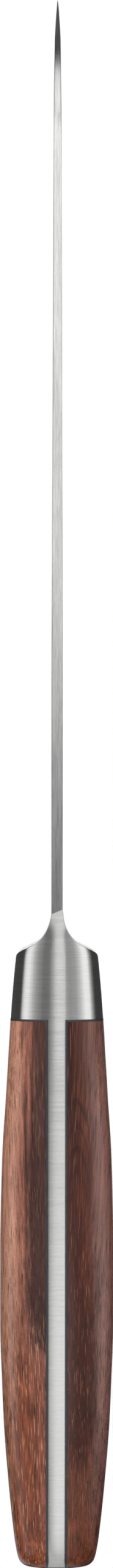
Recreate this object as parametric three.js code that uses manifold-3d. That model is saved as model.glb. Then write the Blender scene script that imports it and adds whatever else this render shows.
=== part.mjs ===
// Forged full-tang kitchen knife of santoku form, lying on its right flank.
// Millimetres. u runs from the butt to the tip, v from the spine down to the edge, w across the thickness
// (left flank positive). Part frame: X = u - LENGTH / 2, Y = v - DEPTH / 2, Z = w + HALF_WIDTH_MAX.
import * as THREE from "three";
import { mergeVertices } from "three/addons/utils/BufferGeometryUtils.js";
import Module from "manifold-3d";

// ---- driving dimensions -------------------------------------------------------------------------------------
const LENGTH = 300; // butt to tip
const DEPTH = 46; // spine to the lowest point of the edge
const HALF_WIDTH_MAX = 10.61; // half of the handle's greatest thickness

// blade
const SPINE_STRAIGHT_END = 200; // the spine is straight up to here
const SPINE_DROOP = 0.0004; // parabola coefficient of the slight droop that follows, per mm
const TIP_ARC_START = 258; // start of the sheepsfoot arc
const TIP_SLOPE = (78 * Math.PI) / 180; // slope of the spine where it meets the tip
const EDGE = [[126.3, 45.85], [145, 46], [175, 46], [205, 45.5], [235, 44], [262, 41.9], [282, 39.8], [300, 37.25]];
const SPINE_THICKNESS = [[104, 2.15], [162.5, 2.15], [192, 2], [214.5, 1.815], [240, 1.67], [260.5, 1.595], [300, 1.52]];
const TIP_TAPER = [[290, 1], [292, 0.9], [294.5, 0.76], [296, 0.66], [297, 0.56], [298, 0.46], [299, 0.34], [300, 0.24]]; // thinning toward the point
const SHOULDER_HALF = 0.18; // half thickness where the flank meets the cutting bevel
const BEVEL_HEIGHT = 0.75;
const FLANK_CONVEXITY = 0.85; // 1 is a dead flat grind
const HEEL = [[23.1, 121.2], [24.5, 122.3], [26.5, 123.4], [30, 124.5], [36, 125.4], [42, 126], [45.25, 126.25]]; // v, u of the heel's back edge
const HEEL_U = HEEL[0][1]; // the heel's back edge leaves the bolster here
const SPREAD_START = 117.5; // from here on the section's rows spread over the blade's flank
const HEEL_REACH = 25; // length over which the flank's columns straighten behind the heel
const MID_SHARE = 0.51; // where the line between the upper and lower flank lies, as a share of the blade's height

// bolster and handle
const BOLSTER_REAR = 104.05;
const SHOULDER = 114.95; // past here a wall that sweeps into the blade cuts the bolster's section off
const NECK = 124.2; // the sweep has died out here
const SWEEP = [[114.95, 1], [115.74, 0.985], [116.23, 0.95], [116.82, 0.84], [117.41, 0.667], [118, 0.507], [118.59, 0.384], [119.08, 0.304], [119.67, 0.232], [120.26, 0.174], [120.85, 0.128], [121.44, 0.09], [122.52, 0.04], [124.2, 0]];
const HALF_WIDTH = [[0, 4.4], [0.3, 5.7], [0.8, 6.5], [1.5, 7.03], [3.8, 7.61], [8.6, 8.26], [17.5, 9.14], [27, 9.88], [36.4, 10.29], [46.5, 10.61], [62, 10.61], [71, 10.45], [79, 10.21], [89, 9.58], [96.8, 9.13], [104.05, 8.7], [110.6, 8.21], [114.95, 7.79], [115.74, 7.7], [116.23, 7.6], [116.82, 7.42], [117.41, 7.2], [118, 6.95], [119, 6.5], [120.5, 6], [124.2, 5.6]];
const TOP_LINE = [[0, 10.5], [0.35, 8.9], [0.9, 7.9], [1.9, 7.1], [3.4, 6.55], [5.5, 6.15], [9, 5.7], [20, 4.6], [40, 2.6], [60, 1.2], [80, 0.35], [95, 0.05], [104.05, 0], [300, 0]];
const BELLY_LINE = [[0, 25.5], [0.9, 28], [2.6, 29.9], [5.5, 30.8], [9, 30.6], [18, 28.8], [28, 27.4], [40, 27.2], [55, 26.8], [70, 25.2], [85, 23], [96, 22.3], [104.05, 22.2], [114.95, 21.2], [116.8, 21.25], [118, 21.5], [119.1, 21.95], [120.4, 22.65], [121.2, 23.1]];
const BACK_SHARE = [[0, 0.66], [20, 0.6], [34, 0.53], [54, 0.53], [68, 0.6], [86, 0.64], [94, 0.74], [99, 0.82], [300, 0.82]]; // depth of the rounded back, as a share of the half width
const BELLY_SHARE = 0.82; // the same for the belly
const TANG_HALF = 1.6; // the tang is 3.2 mm thick
const FILM = 0.02; // adhesive film
const LINER = 0.35; // thickness of the black liner
const LINER_IN = TANG_HALF + FILM;
const LINER_OUT = LINER_IN + LINER;
const SCALE_IN = LINER_OUT + FILM;
const LEG_FRONT = BOLSTER_REAR - FILM;
const LEG_REAR = LEG_FRONT - LINER;
const SCALE_FRONT = LEG_REAR - FILM;

// two-part cutler's rivets
const RIVETS = [["front", 88], ["middle", 55], ["rear", 22]];
const HEAD_RADIUS = 3.3;
const HEAD_DEPTH = 2.2;
const TUBE_RADIUS = 2.3;
const BORE_RADIUS = 1.6;
const PIN_RADIUS = 1.5;
const CLEARANCE = 0.1; // round the heads and the tube
const TUBE_END = -4; // open end of the tube, on the far side of the tang
const PIN_END = 4.5; // end of the pin inside the tube
const BORE_END = 5.5; // blind end of the tube's bore
const ROUND_STEPS = 24;

// ---- curves -------------------------------------------------------------------------------------------------
// Monotone cubic through [x, y] pairs, held constant beyond its ends.
function curve(points) {
  const n = points.length;
  const x = points.map((p) => p[0]), y = points.map((p) => p[1]);
  const h = [], d = [], m = [];
  for (let i = 0; i < n - 1; i++) {
    h[i] = x[i + 1] - x[i];
    d[i] = (y[i + 1] - y[i]) / h[i];
  }
  m[0] = d[0];
  m[n - 1] = d[n - 2];
  for (let i = 1; i < n - 1; i++) {
    if (d[i - 1] * d[i] <= 0) m[i] = 0;
    else {
      const a = 2 * h[i] + h[i - 1], b = h[i] + 2 * h[i - 1];
      m[i] = (a + b) / (a / d[i - 1] + b / d[i]);
    }
  }
  return (t) => {
    if (t <= x[0]) return y[0];
    if (t >= x[n - 1]) return y[n - 1];
    let i = 0;
    while (t > x[i + 1]) i++;
    const s = (t - x[i]) / h[i], s2 = s * s, s3 = s2 * s;
    return (2 * s3 - 3 * s2 + 1) * y[i] + (s3 - 2 * s2 + s) * h[i] * m[i] + (3 * s2 - 2 * s3) * y[i + 1] + (s3 - s2) * h[i] * m[i + 1];
  };
}
const edgeLine = curve(EDGE), spineThickness = curve(SPINE_THICKNESS), heelLine = curve(HEEL);
const sweep = curve(SWEEP), halfWidth = curve(HALF_WIDTH), topLine = curve(TOP_LINE), bellyLine = curve(BELLY_LINE);
const backShare = curve(BACK_SHARE), tipTaper = curve(TIP_TAPER);
const clamp01 = (t) => Math.min(1, Math.max(0, t));
const smooth = (t) => { const s = clamp01(t); return s * s * (3 - 2 * s); };

// Upper outline of the blade: straight, a slight droop, then one arc down to the tip.
const droopRun = TIP_ARC_START - SPINE_STRAIGHT_END;
const arcV = SPINE_DROOP * droopRun * droopRun;
const arcSin = Math.sin(Math.atan(2 * SPINE_DROOP * droopRun));
const arcRadius = (LENGTH - TIP_ARC_START) / (Math.sin(TIP_SLOPE) - arcSin);
function spineLine(u) {
  if (u <= SPINE_STRAIGHT_END) return 0;
  if (u <= TIP_ARC_START) return SPINE_DROOP * (u - SPINE_STRAIGHT_END) ** 2;
  const s = arcSin + (u - TIP_ARC_START) / arcRadius;
  return arcV + arcRadius * (Math.sqrt(1 - arcSin * arcSin) - Math.sqrt(1 - s * s));
}
const topOf = (u) => (u < BOLSTER_REAR ? topLine(u) : spineLine(u));
// Where the flank ends and the cutting bevel begins.
const bevelLine = (u) => {
  const e = edgeLine(u), s = spineLine(u);
  return Math.max(e - BEVEL_HEIGHT, s + 0.3 * (e - s));
};

// ---- thickness ----------------------------------------------------------------------------------------------
// Half thickness of the bare blade.
function flank(u, v) {
  const e = edgeLine(u), b = e - BEVEL_HEIGHT;
  const t = SHOULDER_HALF + (spineThickness(u) / 2 - SHOULDER_HALF) * Math.pow(clamp01((b - v) / b), FLANK_CONVEXITY);
  return Math.min(t * tipTaper(u), Math.max(0.03, ((e - v) * SHOULDER_HALF) / BEVEL_HEIGHT));
}
// The handle's section at u: rounded back and belly, straight sides. Depth of the rounding at half width x, from the
// strip along its middle.
function cap(a, x, share) {
  const c = (t) => Math.sqrt(Math.max(0, 1 - (t / a) ** 2));
  return share * a * (c(TANG_HALF) - c(Math.min(x, a)));
}
// Half thickness of that section at height v.
function section(u, v, top, belly) {
  const a = halfWidth(u);
  const c0 = Math.sqrt(1 - (TANG_HALF / a) ** 2);
  const c = c0 - Math.min((v - top) / backShare(u), (belly - v) / BELLY_SHARE) / a;
  return c <= 0 ? a : Math.max(TANG_HALF, a * Math.sqrt(Math.max(0, 1 - c * c)));
}
// Half thickness at the wall that cuts the bolster off and sweeps into the blade's flank.
function wall(u, v) {
  const bare = flank(u, v);
  return bare + sweep(u) * (halfWidth(SHOULDER) - bare);
}
// Half thickness of blade and bolster together.
function forgingHalf(u, v) {
  const bare = flank(u, v);
  if (u >= NECK) return bare;
  const belly = bellyLine(u);
  if (u <= SHOULDER) return section(u, v, 0, belly);
  if (v <= belly) return Math.min(section(u, v, 0, belly), wall(u, v));
  return bare + (Math.min(TANG_HALF, wall(u, v)) - bare) * (1 - smooth((v - belly) / 4));
}

// Heights across a section, closer together where it is rounded. Angles from the middle of the back.
const CAP_ANGLES = [26, 44, 62, 78, 90].map((a) => (a * Math.PI) / 180);
function rows(u, inner, top, belly) {
  const a = halfWidth(u);
  const x = [inner, ...CAP_ANGLES.map((t) => Math.max(inner, a * Math.sin(t)))];
  const down = x.map((t) => [top + cap(a, t, backShare(u)), t]), up = x.map((t) => [belly - cap(a, t, BELLY_SHARE), t]).reverse();
  return [...down, ...up];
}

// ---- meshes -------------------------------------------------------------------------------------------------
const at = (u, v, w) => [u - LENGTH / 2, v - DEPTH / 2, w + HALF_WIDTH_MAX];
// Collects quads and triangles into one indexed geometry without repeated points or collapsed faces.
function surface() {
  const points = [], index = new Map(), faces = [];
  const id = (p) => {
    const key = p.map((c) => Math.round(c * 1000)).join();
    if (!index.has(key)) { index.set(key, points.length); points.push(p); }
    return index.get(key);
  };
  const tri = (a, b, c) => {
    const t = [id(a), id(b), id(c)];
    if (t[0] !== t[1] && t[1] !== t[2] && t[0] !== t[2]) faces.push(...t);
  };
  return {
    tri,
    quad: (a, b, c, d) => { tri(a, b, c); tri(a, c, d); },
    geometry: () => new THREE.BufferGeometry().setAttribute("position", new THREE.Float32BufferAttribute(points.flat(), 3)).setIndex(faces),
  };
}
// A closed body between two sheets: columns of [v, w of the upper sheet, w of the lower sheet] at each u.
function slab(columns) {
  const s = surface(), last = columns.length - 1, m = columns[0].rows.length - 1;
  const hi = (i, j) => at(columns[i].u, columns[i].rows[j][0], columns[i].rows[j][1]);
  const lo = (i, j) => at(columns[i].u, columns[i].rows[j][0], columns[i].rows[j][2]);
  for (let i = 0; i < last; i++) {
    for (let j = 0; j < m; j++) {
      s.quad(hi(i, j), hi(i + 1, j), hi(i + 1, j + 1), hi(i, j + 1));
      s.quad(lo(i, j), lo(i, j + 1), lo(i + 1, j + 1), lo(i + 1, j));
    }
    s.quad(hi(i, 0), lo(i, 0), lo(i + 1, 0), hi(i + 1, 0));
    s.quad(hi(i, m), hi(i + 1, m), lo(i + 1, m), lo(i, m));
  }
  for (let j = 0; j < m; j++) {
    s.quad(hi(0, j), hi(0, j + 1), lo(0, j + 1), lo(0, j));
    s.quad(hi(last, j), lo(last, j), lo(last, j + 1), hi(last, j + 1));
  }
  return s.geometry();
}

const HANDLE_STATIONS = [0, 0.3, 0.8, 1.5, 2.4, 3.8, 5.6, 8.6, 13, 20, 27.5, 37, 46.5, 62, 71, 79, 87, 93];
// The part of the handle outside a plane at half width `inner`, from the butt to `front`.
function handleSide(inner, front, side, rear = 0) {
  const us = [...HANDLE_STATIONS.filter((u) => u > rear && u < front), front];
  us.unshift(rear);
  return slab(us.map((u) => {
    const r = rows(u, inner, topLine(u), bellyLine(u));
    return { u, rows: r.map(([v, w]) => (side > 0 ? [v, w, inner] : [v, -inner, -w])) };
  }));
}

// Blade, bolster and tang in one mesh.
function forging() {
  const s = surface();
  const tang = [...HANDLE_STATIONS, BOLSTER_REAR];
  const bolster = [BOLSTER_REAR, 107.6, 111.3, SHOULDER, 115.74, 116.23, 116.82, 117.41, 118, 118.8, 119.7, HEEL_U, 122.6, NECK];
  const blade = [128.8, 140, 165, 200, 222, 242, 256, 265, 273, 280, 286, 290.5, 294, 296.7, 298.6, 300];
  const cols = [...tang.map((u) => ({ u, tang: true })), ...bolster.map((u) => ({ u })), ...blade.map((u) => ({ u }))];
  const heel = cols.findIndex((c) => !c.tang && c.u === HEEL_U), last = cols.length - 1;
  const shares = (u) => {
    const top = topOf(u), belly = bellyLine(u);
    return rows(u, TANG_HALF, top, belly).map(([v]) => (v - top) / (belly - top));
  };
  const rearShares = shares(BOLSTER_REAR), frontShares = shares(SHOULDER), m = frontShares.length - 1;
  // Past the shoulder the rows close up so that one lies on the edge where the wall cuts the rounded back, then
  // spread out again over the flank.
  const cutHeights = (u, top, low) => {
    const a = halfWidth(u), room = Math.max(0, wall(u, top) - TANG_HALF) / (a - TANG_HALF), spread = smooth((u - SPREAD_START) / (HEEL_U - SPREAD_START));
    const depth = [0, ...CAP_ANGLES].map((t, j) => {
      const x = TANG_HALF + Math.max(0, a * Math.sin(t) - TANG_HALF) * Math.min(1, room);
      return Math.max(cap(a, x, BELLY_SHARE), spread * frontShares[j] * (low - top));
    });
    return [...depth.map((d) => top + d), ...depth.map((d) => low - d).reverse()];
  };
  // upper block: from the spine to the belly of the handle, or to the middle of the blade
  const upper = cols.map(({ u, tang: isTang }) => {
    const top = isTang ? topLine(u) : spineLine(u);
    if (isTang) return rearShares.map((f) => [u, top + f * (bellyLine(u) - top), TANG_HALF]);
    const low = u <= HEEL_U ? bellyLine(u) : top + MID_SHARE * (bevelLine(u) - top);
    const vs = u <= SHOULDER ? shares(u).map((g) => top + g * (low - top)) : cutHeights(u, top, low);
    return vs.map((v) => [u, v, forgingHalf(u, v)]);
  });
  // lower block: from the middle of the blade to the cutting bevel, behind the heel's curve
  const steps = [0, 0.1, 0.25, 0.5, 0.75, 1];
  const lower = cols.map(({ u }, i) => {
    if (i < heel) return null;
    const from = upper[i][m][1], fade = clamp01(1 - (u - HEEL_U) / HEEL_REACH) ** 2;
    return steps.map((g) => {
      if (g === 0) return upper[i][m];
      const heelV = HEEL[0][0] + g * (HEEL[HEEL.length - 1][0] - HEEL[0][0]);
      const uu = u + (heelLine(heelV) - HEEL_U) * fade;
      const v = from + g * (bevelLine(uu) - from);
      return [uu, v, forgingHalf(uu, v)];
    });
  });
  const n = steps.length - 1;
  const apex = cols.map((c, i) => (i < heel ? null : [i === heel ? EDGE[0][0] : lower[i][n][0], i === heel ? EDGE[0][1] : edgeLine(lower[i][n][0]), 0]));
  const L = (p) => at(p[0], p[1], p[2]), R = (p) => at(p[0], p[1], -p[2]);
  const both = (a, b, c, d) => { s.quad(L(a), L(b), L(c), L(d)); s.quad(R(a), R(d), R(c), R(b)); };
  const across = (a, b) => s.quad(L(a), R(a), R(b), L(b)); // strip joining the two flanks from a to b
  for (let i = 0; i < last; i++) {
    for (let j = 0; j < m; j++) both(upper[i][j], upper[i + 1][j], upper[i + 1][j + 1], upper[i][j + 1]);
    across(upper[i][0], upper[i + 1][0]);
    if (i < heel) across(upper[i + 1][m], upper[i][m]);
    else {
      for (let k = 0; k < n; k++) both(lower[i][k], lower[i + 1][k], lower[i + 1][k + 1], lower[i][k + 1]);
      both(lower[i][n], lower[i + 1][n], apex[i + 1], apex[i]);
    }
  }
  for (let j = 0; j < m; j++) { across(upper[0][j + 1], upper[0][j]); across(upper[last][j], upper[last][j + 1]); }
  for (let k = 0; k < n; k++) { across(lower[heel][k + 1], lower[heel][k]); across(lower[last][k], lower[last][k + 1]); }
  across(apex[heel], lower[heel][n]);
  across(lower[last][n], apex[last]);
  return s.geometry();
}

// ---- joining and cutting ------------------------------------------------------------------------------------
const wasm = await Module();
wasm.setup();
function solid(geometry) {
  const plain = new THREE.BufferGeometry().setAttribute("position", geometry.getAttribute("position")).setIndex(geometry.index);
  const g = mergeVertices(plain, 1e-3);
  return new wasm.Manifold(new wasm.Mesh({ numProp: 3, vertProperties: new Float32Array(g.attributes.position.array), triVerts: new Uint32Array(g.index.array) }));
}
function geometryOf(s) {
  const m = s.getMesh();
  const g = new THREE.BufferGeometry().setAttribute("position", new THREE.BufferAttribute(new Float32Array(m.vertProperties), 3)).setIndex(new THREE.BufferAttribute(new Uint32Array(m.triVerts), 1));
  g.computeVertexNormals();
  return g;
}
// A turned piece along w at (u, v): [radius, w] pairs from one end of its axis to the other.
function turned(u, v, profile) {
  const g = new THREE.LatheGeometry(profile.map(([r, w]) => new THREE.Vector2(r, w)), ROUND_STEPS);
  g.rotateX(Math.PI / 2);
  g.translate(...at(u, v, 0));
  return solid(g);
}
const rod = (u, v, r, from, to) => turned(u, v, [[0, from], [r, from], [r, to], [0, to]]);

const middle = (u) => (topLine(u) + bellyLine(u)) / 2;
const beyond = HALF_WIDTH_MAX + 2;
const pieces = [];
const piece = (name, geometry, color, roughness, metalness) => {
  const mesh = new THREE.Mesh(geometry, new THREE.MeshStandardMaterial({ color, roughness, metalness }));
  mesh.name = name;
  pieces.push(mesh);
};

let blank = solid(forging());
const envelope = handleSide(0, BOLSTER_REAR, 1), envelopeLow = handleSide(0, BOLSTER_REAR, -1);
const whole = solid(envelope).add(solid(envelopeLow));
let scales = [1, -1].map((side) => solid(handleSide(SCALE_IN, SCALE_FRONT, side)));
let liners = [1, -1].map((side) => {
  const us = [...HANDLE_STATIONS, LEG_FRONT];
  const sheet = slab(us.map((u) => {
    const a = halfWidth(u), top = topLine(u) + cap(a, LINER_OUT, backShare(u)), belly = bellyLine(u) - cap(a, LINER_OUT, BELLY_SHARE);
    return { u, rows: [[top, ...(side > 0 ? [LINER_OUT, LINER_IN] : [-LINER_IN, -LINER_OUT])], [belly, ...(side > 0 ? [LINER_OUT, LINER_IN] : [-LINER_IN, -LINER_OUT])]] };
  }));
  return solid(sheet).add(solid(handleSide(LINER_IN, LEG_FRONT, side, LEG_REAR)));
});
for (const [name, u] of RIVETS) {
  const v = middle(u), a = halfWidth(u), seat = a - HEAD_DEPTH;
  const through = rod(u, v, TUBE_RADIUS + CLEARANCE, -beyond, beyond);
  blank = blank.subtract(through);
  liners = liners.map((l) => l.subtract(through));
  scales = scales.map((s, i) => {
    const side = i ? -1 : 1;
    const counterbore = side > 0 ? rod(u, v, HEAD_RADIUS + CLEARANCE, seat - CLEARANCE, beyond) : rod(u, v, HEAD_RADIUS + CLEARANCE, -beyond, -(seat - CLEARANCE));
    return s.subtract(through).subtract(counterbore);
  });
  const female = turned(u, v, [[0, BORE_END], [BORE_RADIUS, BORE_END], [BORE_RADIUS, TUBE_END], [TUBE_RADIUS, TUBE_END], [TUBE_RADIUS, seat], [HEAD_RADIUS, seat], [HEAD_RADIUS, beyond], [0, beyond]]).intersect(whole);
  const male = turned(u, v, [[0, -beyond], [HEAD_RADIUS, -beyond], [HEAD_RADIUS, -seat], [PIN_RADIUS, -seat], [PIN_RADIUS, PIN_END], [0, PIN_END]]).intersect(whole);
  piece(`rivet_${name}_female`, geometryOf(female), 0xb9bbbd, 0.3, 1);
  piece(`rivet_${name}_male`, geometryOf(male), 0xb9bbbd, 0.3, 1);
}
piece("blade_forging", geometryOf(blank), 0xc2c3c4, 0.32, 1);
piece("scale_left", geometryOf(scales[0]), 0x7a4f3c, 0.55, 0);
piece("scale_right", geometryOf(scales[1]), 0x5d3a2d, 0.55, 0);
piece("liner_left", geometryOf(liners[0]), 0x26282c, 0.7, 0);
piece("liner_right", geometryOf(liners[1]), 0x26282c, 0.7, 0);

const knife = new THREE.Group();
knife.name = "santoku_knife";
pieces.forEach((p) => knife.add(p));
export default knife;
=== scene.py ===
"""Looks of a forged full-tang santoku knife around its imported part.

Metres, in the part's frame: X runs from the butt to the tip, Y from the spine to the edge, Z is up, and the knife
lies on its right flank. Lengths in the tables below are millimetres: u from the butt to the tip, v from the spine
down to the edge, w across the thickness with the left flank positive.
"""

import math

import bmesh
import bpy
import numpy as np
from mathutils import Matrix, Vector


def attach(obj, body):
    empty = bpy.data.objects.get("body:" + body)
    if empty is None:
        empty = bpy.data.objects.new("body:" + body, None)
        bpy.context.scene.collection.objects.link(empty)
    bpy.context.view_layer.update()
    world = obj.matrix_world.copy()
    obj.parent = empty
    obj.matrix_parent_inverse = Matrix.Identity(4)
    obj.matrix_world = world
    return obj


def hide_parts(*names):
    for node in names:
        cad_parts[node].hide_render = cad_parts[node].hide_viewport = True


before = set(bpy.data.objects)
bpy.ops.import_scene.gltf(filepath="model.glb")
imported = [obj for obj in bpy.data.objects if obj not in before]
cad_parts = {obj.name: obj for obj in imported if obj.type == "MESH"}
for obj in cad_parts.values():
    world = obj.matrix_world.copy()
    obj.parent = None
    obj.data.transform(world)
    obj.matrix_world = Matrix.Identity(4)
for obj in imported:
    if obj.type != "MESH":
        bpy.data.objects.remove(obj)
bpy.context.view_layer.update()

MM = 0.001
LENGTH, DEPTH, HALF_MAX = 300.0, 46.0, 10.61

# ---- dimensions ---------------------------------------------------------------------------------------------
SPINE_STRAIGHT_END, SPINE_DROOP, TIP_ARC_START, TIP_SLOPE = 200.0, 0.0004, 258.0, math.radians(78)
EDGE = [(126.3, 45.85), (145, 46), (175, 46), (205, 45.5), (235, 44), (262, 41.9), (282, 39.8), (300, 37.25)]
SPINE_THICKNESS = [(104, 2.15), (162.5, 2.15), (192, 2), (214.5, 1.815), (240, 1.67), (260.5, 1.595), (300, 1.52)]
TIP_TAPER = [(290, 1), (292, 0.9), (294.5, 0.76), (296, 0.66), (297, 0.56), (298, 0.46), (299, 0.34), (300, 0.24)]
SHOULDER_HALF, BEVEL_HEIGHT, FLANK_CONVEXITY = 0.18, 0.75, 0.85
SPINE_ROUND = 0.13  # radius along the spine's two corners
HEEL = [(23.1, 121.2), (24.5, 122.3), (26.5, 123.4), (30, 124.5), (36, 125.4), (42, 126), (45.25, 126.25)]
HEEL_U, HEEL_REACH, MID_SHARE = 121.2, 25.0, 0.51
BOLSTER_REAR, SHOULDER, NECK = 104.05, 114.95, 124.2
SWEEP = [(114.95, 1), (115.74, 0.985), (116.23, 0.95), (116.82, 0.84), (117.41, 0.667), (118, 0.507), (118.59, 0.384),
         (119.08, 0.304), (119.67, 0.232), (120.26, 0.174), (120.85, 0.128), (121.44, 0.09), (122.52, 0.04), (124.2, 0)]
HALF_WIDTH = [(0, 4.4), (0.3, 5.7), (0.8, 6.5), (1.5, 7.03), (3.8, 7.61), (8.6, 8.26), (17.5, 9.14), (27, 9.88),
              (36.4, 10.29), (46.5, 10.61), (62, 10.61), (71, 10.45), (79, 10.21), (89, 9.58), (96.8, 9.13),
              (104.05, 8.7), (110.6, 8.21), (114.95, 7.79), (115.74, 7.7), (116.23, 7.6), (116.82, 7.42),
              (117.41, 7.2), (118, 6.95), (119, 6.5), (120.5, 6), (124.2, 5.6)]
TOP_LINE = [(0, 10.5), (0.35, 8.9), (0.9, 7.9), (1.9, 7.1), (3.4, 6.55), (5.5, 6.15), (9, 5.7), (20, 4.6), (40, 2.6),
            (60, 1.2), (80, 0.35), (95, 0.05), (104.05, 0), (300, 0)]
BELLY_LINE = [(0, 25.5), (0.9, 28), (2.6, 29.9), (5.5, 30.8), (9, 30.6), (18, 28.8), (28, 27.4), (40, 27.2),
              (55, 26.8), (70, 25.2), (85, 23), (96, 22.3), (104.05, 22.2), (114.95, 21.2), (116.8, 21.25),
              (118, 21.5), (119.1, 21.95), (120.4, 22.65), (121.2, 23.1)]
BACK_SHARE = [(0, 0.66), (20, 0.6), (34, 0.53), (54, 0.53), (68, 0.6), (86, 0.64), (94, 0.74), (99, 0.82), (300, 0.82)]
BELLY_SHARE = 0.82
TANG_HALF, FILM, LINER = 1.6, 0.02, 0.35
LINER_IN = TANG_HALF + FILM
LINER_OUT = LINER_IN + LINER
SCALE_IN = LINER_OUT + FILM
LEG_FRONT = BOLSTER_REAR - FILM
LEG_REAR = LEG_FRONT - LINER
SCALE_FRONT = LEG_REAR - FILM
RIVETS = [("front", 88.0), ("middle", 55.0), ("rear", 22.0)]
HEAD_RADIUS, HEAD_DEPTH, TUBE_RADIUS, BORE_RADIUS, PIN_RADIUS = 3.3, 2.2, 2.3, 1.6, 1.5
CLEARANCE, TUBE_END, PIN_END, BORE_END = 0.1, -4.0, 4.5, 5.5
TANG_ROUND = 0.1  # radius along the tang's corners


# ---- curves -------------------------------------------------------------------------------------------------
def curve(points):
    """Monotone cubic through (x, y) pairs, held constant beyond its ends."""
    x, y = np.array(points, float).T
    h = np.diff(x)
    d = np.diff(y) / h
    m = np.zeros(len(x))
    m[0], m[-1] = d[0], d[-1]
    for i in range(1, len(x) - 1):
        if d[i - 1] * d[i] > 0:
            a, b = 2 * h[i] + h[i - 1], h[i] + 2 * h[i - 1]
            m[i] = (a + b) / (a / d[i - 1] + b / d[i])

    def value(t):
        t = np.clip(np.asarray(t, float), x[0], x[-1])
        i = np.clip(np.searchsorted(x, t, side="right") - 1, 0, len(x) - 2)
        s = (t - x[i]) / h[i]
        s2, s3 = s * s, s * s * s
        return ((2 * s3 - 3 * s2 + 1) * y[i] + (s3 - 2 * s2 + s) * h[i] * m[i]
                + (3 * s2 - 2 * s3) * y[i + 1] + (s3 - s2) * h[i] * m[i + 1])

    return value


edge_line, spine_thickness, heel_line = curve(EDGE), curve(SPINE_THICKNESS), curve(HEEL)
sweep, half_width, top_line, belly_line = curve(SWEEP), curve(HALF_WIDTH), curve(TOP_LINE), curve(BELLY_LINE)
back_share, tip_taper = curve(BACK_SHARE), curve(TIP_TAPER)


def smooth(t):
    s = np.clip(t, 0, 1)
    return s * s * (3 - 2 * s)


ARC_RUN = TIP_ARC_START - SPINE_STRAIGHT_END
ARC_V = SPINE_DROOP * ARC_RUN ** 2
ARC_SIN = math.sin(math.atan(2 * SPINE_DROOP * ARC_RUN))
ARC_RADIUS = (LENGTH - TIP_ARC_START) / (math.sin(TIP_SLOPE) - ARC_SIN)


def spine_line(u):
    """Upper outline of the blade: straight, a slight droop, then one arc down to the tip."""
    u = np.asarray(u, float)
    droop = SPINE_DROOP * np.clip(u - SPINE_STRAIGHT_END, 0, None) ** 2
    s = np.clip(ARC_SIN + (u - TIP_ARC_START) / ARC_RADIUS, ARC_SIN, 0.999)
    arc = ARC_V + ARC_RADIUS * (math.sqrt(1 - ARC_SIN ** 2) - np.sqrt(1 - s * s))
    return np.where(u <= TIP_ARC_START, droop, arc)


def bevel_line(u):
    e, s = edge_line(u), spine_line(u)
    return np.maximum(e - BEVEL_HEIGHT, s + 0.3 * (e - s))


def flank(u, v):
    """Half thickness of the bare blade."""
    e = edge_line(u)
    b = e - BEVEL_HEIGHT
    t = SHOULDER_HALF + (spine_thickness(u) / 2 - SHOULDER_HALF) * np.clip((b - v) / b, 0, 1) ** FLANK_CONVEXITY
    return np.minimum(t * tip_taper(u), np.maximum(0.03, (e - v) * SHOULDER_HALF / BEVEL_HEIGHT))


def section(u, v, top, belly):
    """Half thickness of the handle's section: crowned back, straight sides, rounded belly with a flat strip."""
    a = half_width(u)
    k = BELLY_SHARE * a
    back = a * np.sqrt(1 - np.clip(1 - (v - top) / (back_share(u) * a), 0, 1) ** 2)
    c0 = np.sqrt(1 - (TANG_HALF / a) ** 2)
    under = np.maximum(TANG_HALF, a * np.sqrt(1 - np.clip(c0 - (belly - v) / k, 0, 1) ** 2))
    return np.minimum(back, under)


def wall(u, v):
    """Half thickness at the wall that cuts the bolster off and sweeps into the blade's flank."""
    bare = flank(u, v)
    return bare + np.where(np.asarray(u) >= NECK, 0.0, sweep(u)) * (half_width(SHOULDER) - bare)


def below(u, v):
    """Half thickness of the blade under the bolster's belly."""
    bare = flank(u, v)
    fade = 1 - smooth((v - belly_line(u)) / 4)
    return bare + (np.minimum(np.maximum(TANG_HALF, bare), wall(u, v)) - bare) * np.where(np.asarray(u) >= NECK, 0.0, fade)


def to_frame(u, v, w):
    return ((u - LENGTH / 2) * MM, (v - DEPTH / 2) * MM, (w + HALF_MAX) * MM)


# ---- meshes -------------------------------------------------------------------------------------------------
class Skin:
    """Collects faces into one mesh and welds the points that coincide."""

    def __init__(self):
        self.points, self.index, self.faces, self.kinds = [], {}, [], []

    def point(self, p):
        key = (round(p[0] * 2000), round(p[1] * 2000), round(p[2] * 2000))
        if key not in self.index:
            self.index[key] = len(self.points)
            self.points.append(to_frame(*p))
        return self.index[key]

    def quad(self, a, b, c, d, kind=0):
        self.face((a, b, c, d), kind)

    def face(self, corners, kind=0):
        ids = []
        for p in corners:
            i = self.point(p)
            if i not in ids:
                ids.append(i)
        if len(ids) > 2:
            self.faces.append(ids)
            self.kinds.append(kind)

    def build(self, name, materials):
        mesh = bpy.data.meshes.new(name)
        mesh.from_pydata(self.points, [], self.faces)
        for m in materials:
            mesh.materials.append(m)
        mesh.polygons.foreach_set("material_index", self.kinds)
        bm = bmesh.new()
        bm.from_mesh(mesh)
        bmesh.ops.recalc_face_normals(bm, faces=bm.faces)
        bm.to_mesh(mesh)
        bm.free()
        obj = bpy.data.objects.new(name, mesh)
        bpy.context.scene.collection.objects.link(obj)
        return obj


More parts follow.
